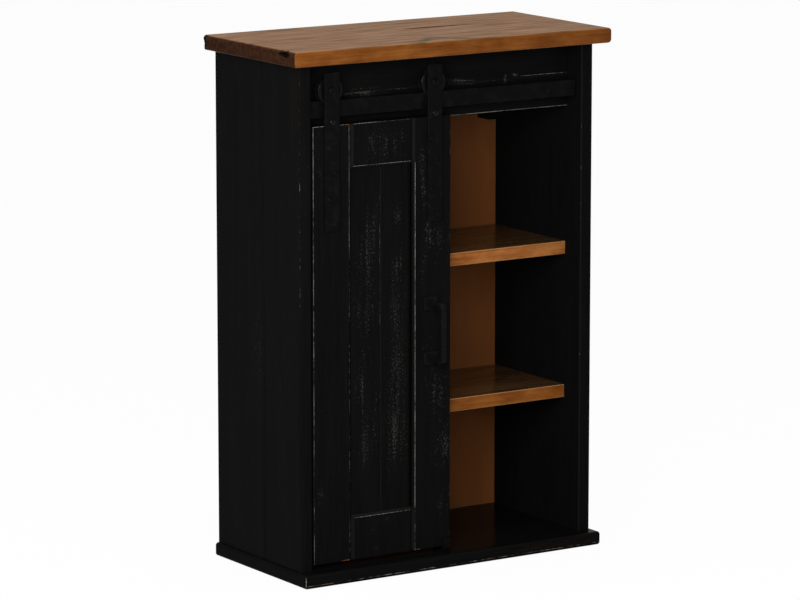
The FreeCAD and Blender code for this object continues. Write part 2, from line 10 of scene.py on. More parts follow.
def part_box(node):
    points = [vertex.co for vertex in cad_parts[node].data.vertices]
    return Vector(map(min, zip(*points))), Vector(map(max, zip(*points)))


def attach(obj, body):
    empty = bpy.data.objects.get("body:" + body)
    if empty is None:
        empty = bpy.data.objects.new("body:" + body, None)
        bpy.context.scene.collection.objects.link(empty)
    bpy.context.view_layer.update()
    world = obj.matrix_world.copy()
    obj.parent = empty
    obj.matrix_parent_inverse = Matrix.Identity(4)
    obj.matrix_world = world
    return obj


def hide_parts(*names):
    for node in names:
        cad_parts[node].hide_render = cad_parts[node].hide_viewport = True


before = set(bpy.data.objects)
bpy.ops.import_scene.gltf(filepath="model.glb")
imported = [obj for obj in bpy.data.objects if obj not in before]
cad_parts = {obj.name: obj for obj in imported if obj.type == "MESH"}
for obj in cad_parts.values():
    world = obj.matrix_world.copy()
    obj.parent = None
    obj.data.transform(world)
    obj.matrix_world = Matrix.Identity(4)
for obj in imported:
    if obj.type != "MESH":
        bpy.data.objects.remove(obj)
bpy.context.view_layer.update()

bl_info = {
    "name": "Sliding Door Wall Cabinet",
    "version": (1, 0, 0),
    "blender": (4, 5, 0),
    "location": "View3D > Sidebar > Cabinet",
    "description": "Dresses a black painted pine wall cabinet that has one sliding door on iron hardware",
    "category": "Object",
}

MM = 0.001
MERGE_DISTANCE = 1e-6
SHARP_ANGLE = math.radians(32)
FLAT_ANGLE = math.radians(0.4)

# Each side of a board: the axis it faces and the end of the board's box that it lies on.
SIDES = {"left": (0, 0), "right": (0, 1), "front": (1, 0), "back": (1, 1), "bottom": (2, 0), "top": (2, 1)}
AXES = {"X": 0, "Y": 1, "Z": 2}
# Which way leads into a box from its low end and from its high end.
INWARD = (1, -1)

UPWARD = 0.9             # A face whose normal has more of +Z than this looks up.
SQUARE = 0.9             # A face whose normal has more of one axis than this lies square to it.
NOISE_MIDDLE = 0.5       # Mean value of a noise texture.


class Rub(NamedTuple):
    """A rubbed edge of a board, with lengths in millimetres.

    It shows on one face and runs along the edge that this face shares with another side. Inset is how far
    it lies in from that side, and depth how far in from the face. Start and end limit its run, spread makes
    it wider, and brown is how much stained wood shows round it.
    """
    face: str
    edge: str
    inset: float
    strength: float
    start: float = -1000.0
    end: float = 1000.0
    brown: float = 0.0
    depth: float = 0.0
    spread: float = 1.0


class Patch(NamedTuple):
    """A soft patch of specks on the broad face of a board: its middle and reach in millimetres."""
    across: float
    height: float
    reach_across: float
    reach_up: float
    strength: float


class CabinetFinish(bpy.types.PropertyGroup):
    """Colours and sheen of every finish."""
    paint: FloatVectorProperty(name="Paint", description="Black paint on the carcass and the door",
                               subtype="COLOR", default=(0.0036, 0.0036, 0.0036))
    paint_light: FloatVectorProperty(name="Thin Paint", description="Paint where the brushed grain shows",
                                     subtype="COLOR", default=(0.005, 0.005, 0.005))
    # Lighter paint on chamfers that don't face right, partly thinner paint and partly painted light, and the
    # paint in speck patches.
    paint_thin_and_lit: FloatVectorProperty(name="Chamfer Paint", description="Paint on chamfers and in patches",
                                    subtype="COLOR", default=(0.0074, 0.0074, 0.0073))
    # Dark colour of the joint lines in the left side, and of the shade painted into the door panel's
    # corners.
    dark_joint_and_shade: FloatVectorProperty(name="Grime", description="Dark grime in the corners of the door panel",
                               subtype="COLOR", default=(0.0004, 0.0004, 0.0004))
    paint_roughness: FloatProperty(name="Paint Roughness", description="Roughness of the paint",
                                   subtype="FACTOR", min=0, max=1, default=0.26)
    bare_wood: FloatVectorProperty(name="Bare Wood", description="Pale wood at the rubbed edges",
                                   subtype="COLOR", default=(0.2, 0.188, 0.165))
    speck: FloatVectorProperty(name="Speck", description="Undercoat that shows through the specks",
                               subtype="COLOR", default=(0.036, 0.0345, 0.031))
    brown_wood: FloatVectorProperty(name="Brown Wood", description="Stained wood under the rubbed paint",
                                    subtype="COLOR", default=(0.2, 0.085, 0.03))
    pine_light: FloatVectorProperty(name="Light Pine", description="Early wood of the honey pine",
                                    subtype="COLOR", default=(0.236, 0.081, 0.0155))
    pine_dark: FloatVectorProperty(name="Dark Pine", description="Late wood of the honey pine",
                                   subtype="COLOR", default=(0.115, 0.031, 0.0045))
    pine_end: FloatVectorProperty(name="Pine End", description="End grain of the honey pine",
                                  subtype="COLOR", default=(0.052, 0.0185, 0.0075))
    # Paler upper face of the top board, partly wear and partly painted sheen; also the colour of painted
    # highlights on the shelves.
    pine_bleached_and_sheen: FloatVectorProperty(name="Bleached Pine", description="Worn upper face of the top board",
                                       subtype="COLOR", default=(0.255, 0.135, 0.056))
    # Dark tone of the shelf tops, a painted shade for the inside of the cabinet, under a glossy finish.
    pine_shaded: FloatVectorProperty(name="Polished Pine", description="Dark polished tops of the shelves",
                                     subtype="COLOR", default=(0.062, 0.031, 0.0115))
    pine_grey: FloatVectorProperty(name="Grey Pine", description="Weathered swirl at the front of the top",
                                   subtype="COLOR", default=(0.05, 0.042, 0.016))
    pine_knot: FloatVectorProperty(name="Pine Knot", description="Knots and checks in the honey pine",
                                   subtype="COLOR", default=(0.003, 0.0015, 0.001))
    pine_roughness: FloatProperty(name="Pine Roughness", description="Roughness of the waxed pine",
                                  subtype="FACTOR", min=0, max=1, default=0.32)
    back_board: FloatVectorProperty(name="Back Board", description="Stained face of the back board",
                                    subtype="COLOR", default=(0.165, 0.056, 0.0145))
    raw_board: FloatVectorProperty(name="Raw Board", description="Bare rear face of the back board",
                                   subtype="COLOR", default=(0.2, 0.12, 0.06))
    iron: FloatVectorProperty(name="Iron", description="Black coating of the iron hardware",
                              subtype="COLOR", default=(0.0028, 0.0028, 0.0028))
    iron_roughness: FloatProperty(name="Iron Roughness", description="Roughness of the coated iron",
                                  subtype="FACTOR", min=0, max=1, default=0.4)
    steel: FloatVectorProperty(name="Steel", description="Zinc plated fasteners",
                               subtype="COLOR", default=(0.42, 0.42, 0.4))
    beech: FloatVectorProperty(name="Beech", description="Dowels", subtype="COLOR",
                               default=(0.46, 0.29, 0.16))
    nylon: FloatVectorProperty(name="Nylon", description="Wheel bushes", subtype="COLOR",
                               default=(0.55, 0.54, 0.5))


class CabinetMaking(bpy.types.PropertyGroup):
    """Sizes that the dressed pieces are made with."""
    grain_step: FloatProperty(name="Grain Step", description="Spacing of the cuts along a board",
                              unit="LENGTH", default=5 * MM)
    rub_width: FloatProperty(name="Rub Width", description="How far a rubbed edge reaches into a face",
                             unit="LENGTH", default=0.75 * MM)
    # How far the dark joint lines and the painted shade in corners reach.
    dark_joint_and_shade_reach: FloatProperty(name="Grime Reach", description="How far grime reaches out of a corner",
                               unit="LENGTH", default=6 * MM)
    nick_depth: FloatProperty(name="Nick Depth", description="Depth of the deepest nick in a rubbed edge",
                              unit="LENGTH", default=0.4 * MM)
    check_depth: FloatProperty(name="Check Depth", description="Depth of the drying check in the top",
                               unit="LENGTH", default=2 * MM)
    knot_depth: FloatProperty(name="Knot Depth", description="Depth of the open knot in the top's left end",
                              unit="LENGTH", default=4 * MM)
    bolt_sides: IntProperty(name="Bolt Sides", description="Facets round a domed bolt head", default=28)


class CabinetStage(bpy.types.PropertyGroup):
    """Camera, light and floor."""
    camera_target: FloatVectorProperty(name="Camera Target", description="Middle of the picture",
                                       subtype="XYZ", unit="LENGTH", default=(-0.00516, 0.01501, 0.33927))
    camera_yaw: FloatProperty(name="Camera Yaw", description="Turn of the view to the right",
                              subtype="ANGLE", default=math.radians(33.0))
    camera_pitch: FloatProperty(name="Camera Pitch", description="Tilt of the view downwards",
                                subtype="ANGLE", default=math.radians(10.33))
    camera_distance: FloatProperty(name="Camera Distance", description="From the camera to its target",
                                   unit="LENGTH", default=5.906)
    lens: FloatProperty(name="Lens", description="Focal length in millimetres on a 36 mm sensor",
                        default=199.7)
    sky: FloatProperty(name="Sky", description="Level of the even white light all round", default=0.45)
    key_power: FloatProperty(name="Key Power", description="Watts of the key lamp",
                             subtype="POWER", default=20.0)
    key_place: FloatVectorProperty(name="Key Place", description="Middle of the key lamp",
                                   subtype="XYZ", unit="LENGTH", default=(-1.0, -1.12, 0.86))
    key_size: FloatProperty(name="Key Size", description="Width and height of the key lamp",
                            unit="LENGTH", default=0.78)
    soft_size: FloatProperty(name="Soft Size", description="Width and height of the other two lamps",
                             unit="LENGTH", default=1.8)
    overhead_power: FloatProperty(name="Overhead Power", description="Watts of the soft lamp above",
                                  subtype="POWER", default=36.0)
    overhead_height: FloatProperty(name="Overhead Height", description="Height of the soft lamp above",
                                   unit="LENGTH", default=3.0)
    fill_power: FloatProperty(name="Fill Power", description="Watts of the lamp near the camera",
                              subtype="POWER", default=16.0)
    fill_place: FloatVectorProperty(name="Fill Place", description="Middle of the lamp near the camera",
                                    subtype="XYZ", unit="LENGTH", default=(-2.6, -4.2, 1.0))
    floor_glow: FloatProperty(name="Floor Glow", description="Share of the floor that no shadow dims",
                              subtype="FACTOR", min=0, max=1, default=0.96)
    floor_size: FloatProperty(name="Floor Size", description="Width of the floor",
                              unit="LENGTH", default=40.0)


class Finish:
    """The node tree of one material, with short ways to add nodes and join them."""

    def __init__(self, name):
        self.material = bpy.data.materials.new(name)
        self.material.use_nodes = True
        self.tree = self.material.node_tree
        self.tree.nodes.clear()

    def add(self, kind, inputs=None, output=0, **settings):
        """Adds a node, fills or links its inputs, and returns one of its outputs."""
        node = self.tree.nodes.new("ShaderNode" + kind)
        for name, value in settings.items():
            setattr(node, name, value)
        for name, value in (inputs or {}).items():
            if isinstance(value, bpy.types.NodeSocket):
                self.tree.links.new(value, node.inputs[name])
            else:
                node.inputs[name].default_value = value
        return node.outputs[output]

    def place(self, stretch=(1, 1, 1), shift=(0, 0, 0)):
        """Object coordinates, scaled and then moved."""
        spot = self.add("TexCoord", output="Object")
        return self.add("Mapping", {"Vector": spot, "Scale": stretch, "Location": shift})

    def along(self, grain, share, shift=(0, 0, 0)):
        """Object coordinates that are drawn out along the grain."""
        stretch = [1.0, 1.0, 1.0]
        stretch[AXES[grain]] = share
        return self.place(stretch, shift)

    def noise(self, place, scale, detail=2.0, roughness=0.5):
        """A cloudy value about the middle, finer with a larger scale."""
        inputs = {"Vector": place, "Scale": scale, "Detail": detail, "Roughness": roughness}
        return self.add("TexNoise", inputs)

    def span(self, value, low, high, start=0.0, end=1.0):
        """Takes a value from one range to another, with smooth ends."""
        inputs = {"Value": value, "From Min": low, "From Max": high, "To Min": start, "To Max": end}
        return self.add("MapRange", inputs, interpolation_type="SMOOTHSTEP")

    def math(self, operation, first, second):
        return self.add("Math", {0: first, 1: second}, operation=operation)

    def scaled(self, value, share):
        return self.math("MULTIPLY", value, share)

    def blend(self, factor, first, second):
        """A colour between two colours."""
        inputs = {0: factor, 6: opaque(first), 7: opaque(second)}
        return self.add("Mix", inputs, output=2, data_type="RGBA")

    def attribute(self, name):
        """A value that the mesh carries, or nothing where it carries none."""
        return self.add("Attribute", output="Fac", attribute_name=name)

    def normal(self, axis):
        """How far the surface faces along an axis."""
        normal = self.add("TexCoord", output="Normal")
        return self.add("SeparateXYZ", {0: normal}, output=axis)

    def facing(self, axis):
        """How far the surface faces along an axis, whichever way."""
        return self.add("Math", {0: self.normal(axis)}, operation="ABSOLUTE")

    def bump(self, height, depth):
        """A normal that follows a height, with the depth in metres."""
        return self.add("Bump", {"Height": height, "Distance": depth})

    def surface(self, colour, roughness, specular, **inputs):
        """Ends the tree with one surface shader and returns the material."""
        values = {"Base Color": opaque(colour), "Roughness": roughness, "Specular IOR Level": specular}
        values.update(inputs)
        self.end(self.add("BsdfPrincipled", values))
        return self.material

    def end(self, shader):
        """Joins a shader to the material's output."""
        output = self.tree.nodes.new("ShaderNodeOutputMaterial")
        self.tree.links.new(shader, output.inputs["Surface"])


def opaque(colour):
    """A plain colour with full opacity, or a socket as it is."""
    return colour if isinstance(colour, bpy.types.NodeSocket) else (*colour[:3], 1.0)


def shaded(colour, share):
    """A colour made darker or lighter."""
    return [share * part for part in colour]


def black_paint(grain, sheen=0.0):
    """Brushed black paint over pine.

    The wear, brown and rub attributes say where it is worn to the wood, stained or specked. The thin_and_lit
    attribute lightens chamfers as thinner paint and as painted light, and the dark_joint_and_shade attribute
    darkens joint lines and paints shade into the door panel's corners.
    """
    name = "black_paint_" + grain + ("_sheen" if sheen else "")
    if name in bpy.data.materials:
        return bpy.data.materials[name]
    look = bpy.context.scene.cabinet_finish
    finish = Finish(name)
    lines = finish.noise(finish.along(grain, share=0.04), scale=620, detail=3)
    bands = finish.noise(finish.along(grain, share=0.06), scale=70)
    brushed = finish.math("ADD", finish.scaled(lines, share=0.6), finish.scaled(bands, share=0.4))
    # Paint under the sheen is darker, a painted shade for the dim floor inside the cabinet.
    tone = 1 - 0.3 * sheen
    paint = finish.blend(finish.span(brushed, low=0.36, high=0.66), shaded(look.paint, tone),
                         shaded(look.paint_light, tone))
    dots = finish.noise(finish.along(grain, share=0.8), scale=470, detail=1)
    columns = finish.noise(finish.along(grain, share=0.08), scale=210, detail=1)
    columns = finish.span(columns, low=0.38, high=0.62, start=0.55, end=1.2)
    density = finish.math("MULTIPLY", finish.attribute("rub"), columns)
    specks = finish.math("ADD", dots, finish.scaled(density, share=0.72))
    specks = finish.span(specks, low=0.7, high=1.05)
    # Chamfers that don't face right get lighter paint, partly thinner paint and partly painted light; speck
    # patches lighten it too.
    thin_and_lit = finish.math("MAXIMUM", finish.attribute("thin_and_lit"), finish.scaled(density, share=0.3))
    paint = finish.blend(thin_and_lit, paint, look.paint_thin_and_lit)
    ragged = finish.noise(finish.along(grain, share=0.35), scale=420, detail=4)
    ragged = finish.scaled(finish.math("SUBTRACT", ragged, NOISE_MIDDLE), share=0.8)
    worn = finish.span(finish.math("ADD", finish.attribute("wear"), ragged), low=0.5, high=0.7)
    brown = finish.attribute("brown")
    wood = finish.blend(finish.span(brown, low=0.1, high=0.5), look.bare_wood, look.brown_wood)
    stain = finish.math("ADD", brown, ragged)
    tint = finish.span(stain, low=0.15, high=0.6, end=0.04)
    blotch = finish.span(stain, low=0.45, high=0.9, end=0.6)
    colour = finish.blend(specks, paint, look.speck)
    colour = finish.blend(tint, colour, look.brown_wood)
    colour = finish.blend(blotch, colour, look.brown_wood)
    # Darkens the joint lines, and paints shade into the door panel's corners.
    colour = finish.blend(finish.attribute("dark_joint_and_shade"), colour, look.dark_joint_and_shade)
    colour = finish.blend(worn, colour, wood)
    height = finish.math("SUBTRACT", brushed, finish.scaled(worn, share=0.3))
    roughness = look.paint_roughness - 0.1 * sheen
    rough = finish.span(brushed, low=0.3, high=0.7, start=roughness + 0.06, end=roughness - 0.04)
    return finish.surface(colour, rough, specular=0.005 + 0.036 * sheen,
                          Normal=finish.bump(height, depth=0.12 * MM))


def honey_pine(name, shade, flat_share, flat_tone, specular,
               flat_specular=0.05, polish=0.0, arris=0.0, highlight_pallor=0.0):
    """Waxed pine with rings along X, another tone on its flats and dark end grain.

    The push, swirl and knot attributes say where the rings bend and where the wood is grey or dark.
    The flats' tone is painted shade on the shelf tops, and a paler face on the top board that is partly wear
    and partly painted sheen. Polish smooths the flats, arris lightens the rounded edges beside them as wear
    and painted highlight, and highlight_pallor pales the wood as a painted highlight.
    """
    look = bpy.context.scene.cabinet_finish
    finish = Finish(name)
    sway = finish.noise(finish.along("X", share=0.12), scale=9)
    pushed = finish.math("ADD", finish.scaled(sway, share=0.03), finish.attribute("push"))
    spot = finish.add("TexCoord", output="Object")
    moved = finish.add("CombineXYZ", {"Y": pushed})
    spot = finish.add("VectorMath", {0: spot, 1: moved}, operation="ADD")
    heart = {"Vector": spot, "Scale": (0.0, 1.0, 1.0), "Location": (0.0, 0.02, -0.62)}
    heart = finish.add("Mapping", heart)
    waves = {"Vector": heart, "Scale": 38, "Distortion": 1.5, "Detail": 2, "Detail Scale": 2.0}
    rings = finish.add("TexWave", waves, output="Fac", wave_type="RINGS", rings_direction="X",
                       wave_profile="SAW")
    streaks = finish.noise(finish.along("X", share=0.02), scale=420, detail=3)
    cloud = finish.noise(finish.along("X", share=0.4), scale=60, detail=4, roughness=0.6)
    figure = finish.math("ADD", finish.scaled(rings, share=0.07), finish.scaled(streaks, share=0.45))
    figure = finish.math("ADD", figure, finish.scaled(cloud, share=0.85))
    # Paling the wood towards pine_bleached_and_sheen is a painted highlight.
    fresh_and_pale = zip(look.pine_light, look.pine_bleached_and_sheen)
    light = [(1 - highlight_pallor) * fresh + highlight_pallor * pale for fresh, pale in fresh_and_pale]
    light = shaded(light, shade)
    dark = shaded(look.pine_dark, shade)
    colour = finish.blend(finish.span(figure, low=0.35, high=0.95), light, dark)
    # Flats: painted shade on the shelf tops; on the top board a paler face, partly wear and partly painted
    # sheen.
    flat = finish.span(finish.facing("Z"), low=0.45, high=0.8, end=1 - flat_share)
    flecks = finish.noise(finish.along("X", share=0.06), scale=170, detail=3, roughness=0.6)
    tone = finish.blend(finish.span(flecks, low=0.36, high=0.6), shaded(flat_tone, share=0.5),
                        shaded(flat_tone, share=1.15))
    colour = finish.blend(flat, colour, tone)
    # Pale rounded edges beside the flats, partly wear and partly painted highlight.
    worn_and_lit_arris = finish.span(finish.facing("Z"), low=0.15, high=0.4, end=arris)
    sloping = finish.span(finish.facing("Z"), low=0.75, high=0.95, start=1.0, end=0.0)
    worn_and_lit_arris = finish.math("MULTIPLY", worn_and_lit_arris, sloping)
    colour = finish.blend(worn_and_lit_arris, colour, shaded(look.pine_bleached_and_sheen, share=1.7))
    grey = finish.span(finish.attribute("swirl"), low=0.05, high=0.7, end=0.9)
    colour = finish.blend(grey, colour, look.pine_grey)
    pores = finish.noise(finish.along("Z", share=0.5), scale=300, detail=3)
    end = finish.blend(finish.span(pores, low=0.35, high=0.7), shaded(look.pine_end, share=0.42),
                       look.pine_end)
    colour = finish.blend(finish.span(finish.facing("X"), low=0.3, high=0.7), colour, end)
    knot = finish.attribute("knot")
    colour = finish.blend(finish.span(knot, low=0.05, high=0.9), colour, look.pine_knot)
    waxed = look.pine_roughness
    rough = finish.span(streaks, low=0.3, high=0.7, start=waxed - 0.05, end=waxed + 0.12)
    rough = finish.math("ADD", rough, finish.span(flecks, low=0.3, high=0.7, start=0.12, end=-0.08))
    dull_end = finish.span(finish.facing("X"), low=0.55, high=0.85, end=0.45)
    rough = finish.math("ADD", rough, dull_end)
    rough = finish.math("ADD", rough, finish.span(knot, low=0.05, high=0.9, end=0.5))
    rough = finish.math("ADD", rough, finish.span(finish.facing("Z"), low=0.45, high=0.8, end=-polish))
    shine = finish.span(finish.facing("Z"), low=0.45, high=0.8, start=specular, end=flat_specular)
    return finish.surface(colour, rough, shine, Normal=finish.bump(streaks, depth=0.12 * MM))


def fibre_board():
    """Smooth stained face in front and bare fibre at the back."""
    look = bpy.context.scene.cabinet_finish
    finish = Finish("fibre_board")
    cloud = finish.noise(finish.along("Z", share=0.25), scale=30, detail=3)
    stain = finish.blend(finish.span(cloud, low=0.35, high=0.65), shaded(look.back_board, share=0.86),
                         look.back_board)
    fibres = finish.noise(finish.place(), scale=900, detail=4)
    raw = finish.blend(finish.span(fibres, low=0.3, high=0.7), shaded(look.raw_board, share=0.75),
                       look.raw_board)
    colour = finish.blend(finish.span(finish.normal("Y"), low=0.4, high=0.6), stain, raw)
    rough = finish.span(cloud, low=0.3, high=0.7, start=0.5, end=0.6)
    return finish.surface(colour, rough, specular=0.15, Normal=finish.bump(fibres, depth=0.05 * MM))


def coated_iron(name="coated_iron", polish=0.0, shade=1.0):
    """Black coated iron with a fine pebble and scuffs."""
    look = bpy.context.scene.cabinet_finish
    finish = Finish(name)
    pebble = finish.noise(finish.place(), scale=900)
    scuffs = finish.noise(finish.place(), scale=90, detail=4)
    iron = shaded(look.iron, shade)
    colour = finish.blend(finish.span(scuffs, low=0.45, high=0.75), iron, shaded(iron, share=1.8))
    roughness = look.iron_roughness - 0.28 * polish
    rough = finish.span(scuffs, low=0.3, high=0.7, start=roughness - 0.06, end=roughness + 0.1)
    return finish.surface(colour, rough, specular=0.025 + 0.06 * polish,
                          Normal=finish.bump(pebble, depth=0.04 * MM))


def plain_finish(name, colour, roughness, metal=0.0):
    """A small hidden piece's finish, with a slight mottle."""
    finish = Finish(name)
    mottle = finish.noise(finish.place(), scale=400, detail=3)
    tone = finish.blend(finish.span(mottle, low=0.3, high=0.7), shaded(colour, share=0.8), colour)
    rough = finish.span(mottle, low=0.3, high=0.7, start=roughness - 0.06, end=roughness + 0.06)
    return finish.surface(tone, rough, specular=0.5, Metallic=metal)


def copy_of_node(name):
    """The shape of a CAD node, with its loose triangles joined into whole faces."""
    shape = bmesh.new()
    shape.from_mesh(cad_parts[name].data)
    bmesh.ops.remove_doubles(shape, verts=shape.verts, dist=MERGE_DISTANCE)
    bmesh.ops.dissolve_limit(shape, angle_limit=FLAT_ANGLE, verts=shape.verts, edges=shape.edges)
    return shape


def cut(shape, axis, places):
    """Cuts every face of a shape where it crosses the given places on an axis."""
    normal = Vector([float(axis == index) for index in range(3)])
    for place in sorted(set(round(value, 6) for value in places)):
        parts = shape.verts[:] + shape.edges[:] + shape.faces[:]
        bmesh.ops.bisect_plane(shape, geom=parts, plane_co=normal * place, plane_no=normal,
                               dist=MERGE_DISTANCE)


def steps(low, high, step):
    """Even places between two limits, about one step apart."""
    count = max(1, round((high - low) / step))
    return [low + (high - low) * index / count for index in range(1, count)]


def finished_piece(name, shape, material, body, slot, *nodes):
    """Makes a shape into an object that stands for some CAD nodes and rides on their body."""
    mesh = bpy.data.meshes.new(name)
    shape.to_mesh(mesh)
    shape.free()
    if "custom_normal" in mesh.attributes:
        mesh.attributes.remove(mesh.attributes["custom_normal"])
    mesh.polygons.foreach_set("use_smooth", [True] * len(mesh.polygons))
    mesh.set_sharp_from_angle(angle=SHARP_ANGLE)
    mesh.materials.append(material)
    piece = bpy.data.objects.new(name, mesh)
    bpy.context.scene.collection.objects.link(piece)
    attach(piece, body)
    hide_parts(*nodes)
    return piece


def finish_nodes(material, *names):
    """Gives CAD nodes that are shown as they are a better material."""
    for name in names:
        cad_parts[name].material_slots[0].material = material


class EdgeLine:
    """Where a rubbed edge runs on a board, and how worn a point near it is."""

    uneven_share = 0.35      # How much the wear varies along the line.
    uneven_scale = 45        # How quickly it varies.
    line_seed = 900          # Sets apart the variation of lines at different places.
    brown_reach = 4          # How many times as far as the wear the stained wood reaches.
    cut_reaches = (-1, -0.5, 0, 0.5, 1)

    def __init__(self, corners, rub):
        self.rub = rub
        self.face_axis, face_end = SIDES[rub.face]
        self.edge_axis, edge_end = SIDES[rub.edge]
        self.run_axis = 3 - self.face_axis - self.edge_axis
        self.face_place = corners[face_end][self.face_axis] + INWARD[face_end] * rub.depth * MM
        self.edge_place = corners[edge_end][self.edge_axis] + INWARD[edge_end] * rub.inset * MM

    def closeness(self, place, width):
        """One on the line, falling to nothing at the given distance from it or past its ends."""
        width *= self.rub.spread
        from_face = place[self.face_axis] - self.face_place
        from_edge = place[self.edge_axis] - self.edge_place
        run = place[self.run_axis] / MM
        past_end = max(self.rub.start - run, run - self.rub.end, 0.0) * MM
        return max(0.0, 1 - math.hypot(from_face, from_edge) / width) * max(0.0, 1 - past_end / width)

    def wear(self, place, width):
        """How worn a point is, unevenly along the line."""
        spot = (place[self.run_axis] * self.uneven_scale, self.edge_place * self.line_seed, 0.5)
        uneven = 1 + self.uneven_share * noise.noise(spot)
        return self.rub.strength * uneven * self.closeness(place, width)

    def brown(self, place, width):
        """How much stained wood shows at a point."""
        return self.rub.brown * self.closeness(place, self.brown_reach * width)

    def dark_joint_and_shade(self, place, reach):
        """How dark a point is near a dark joint line, and near a corner where shade is painted."""
        return self.rub.strength * self.closeness(place, reach)

    def cuts(self, width):
        """Where the board needs a cut on the two axes across the line, as pairs of axis and place."""
        for reach in self.cut_reaches:
            yield self.face_axis, self.face_place + reach * width * self.rub.spread
            yield self.edge_axis, self.edge_place + reach * width * self.rub.spread


def speck_strength(place, patch, across):
    """How dense the specks of a patch are at a point."""
    away_across = (place[across] / MM - patch.across) / patch.reach_across
    away_up = (place.z / MM - patch.height) / patch.reach_up
    return patch.strength * math.exp(-away_across ** 2 - away_up ** 2)


def worn_board(node, body, grain, rubs, patches=(), across="X", dark_joint_and_shade=(), thin_and_lit_chamfers=True):
    """A painted board whose listed edges are rubbed and nicked, and whose broad face is specked in patches.

    The broad face spans Z and the axis named by across. The dark_joint_and_shade list gives the dark joint
    lines and the corners where shade is painted.
    """
    making = bpy.context.scene.cabinet_making
    low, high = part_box(node)
    shape = copy_of_node(node)
    lines = [EdgeLine((low, high), rub) for rub in rubs]
    # Dark joint lines, and corners where shade is painted.
    corners = [EdgeLine((low, high), rub) for rub in dark_joint_and_shade]
    cuts = {0: [], 1: [], 2: []}
    cuts[AXES[grain]] += steps(low[AXES[grain]], high[AXES[grain]], making.grain_step)
    for line in lines:
        for axis, place in line.cuts(making.rub_width):
            cuts[axis].append(place)
    for corner in corners:
        for axis, place in corner.cuts(making.dark_joint_and_shade_reach):
            cuts[axis].append(place)
    if patches:
        for axis in {AXES[across], AXES["Z"]} - {AXES[grain]}:
            cuts[axis] += steps(low[axis], high[axis], making.grain_step)
    for axis, places in cuts.items():
        cut(shape, axis, [place for place in places if low[axis] < place < high[axis]])
    wear = shape.verts.layers.float.new("wear")
    specks = shape.verts.layers.float.new("rub")
    brown = shape.verts.layers.float.new("brown")
    dark_joint_and_shade_layer = shape.verts.layers.float.new("dark_joint_and_shade")
    for vertex in shape.verts:
        vertex[wear] = max([0.0] + [line.wear(vertex.co, making.rub_width) for line in lines])
        vertex[brown] = max([0.0] + [line.brown(vertex.co, making.rub_width) for line in lines])
        vertex[dark_joint_and_shade_layer] = max([0.0] + [corner.dark_joint_and_shade(vertex.co, making.dark_joint_and_shade_reach) for corner in corners])
        vertex[specks] = sum(speck_strength(vertex.co, patch, AXES[across]) for patch in patches)
    # Chamfers that don't face right get lighter paint: thinner paint and painted light.
    if thin_and_lit_chamfers:
        mark_thin_and_lit_chamfers(shape)
    nick(shape, wear, making.nick_depth)
    return finished_piece("worn_" + node, shape, black_paint(grain), body, "black_painted_wood", node)


def mark_thin_and_lit_chamfers(shape, most_right=0.3):
    """Notes the faces that lie square to no axis and don't look right, whose paint is made lighter as
    thinner paint and as painted light from the left.
    """
    thin_and_lit = shape.faces.layers.float.new("thin_and_lit")
    shape.normal_update()
    for face in shape.faces:
        slanted = max(abs(part) for part in face.normal) < SQUARE
        face[thin_and_lit] = float(slanted and face.normal.x < most_right)


def nick(shape, wear, depth, least_wear=0.3, coarse=70, fine=190, fine_share=0.6):
    """Pulls rubbed vertices inwards, by a coarse and a fine noise along the edge."""
    shape.normal_update()
    moves = []
    for vertex in shape.verts:
        if vertex[wear] > least_wear:
            rough = noise.noise(vertex.co * coarse) + fine_share * noise.noise(vertex.co * fine)
            moves.append((vertex, vertex.normal * -depth * max(0.0, rough)))
    for vertex, move in moves:
        vertex.co += move


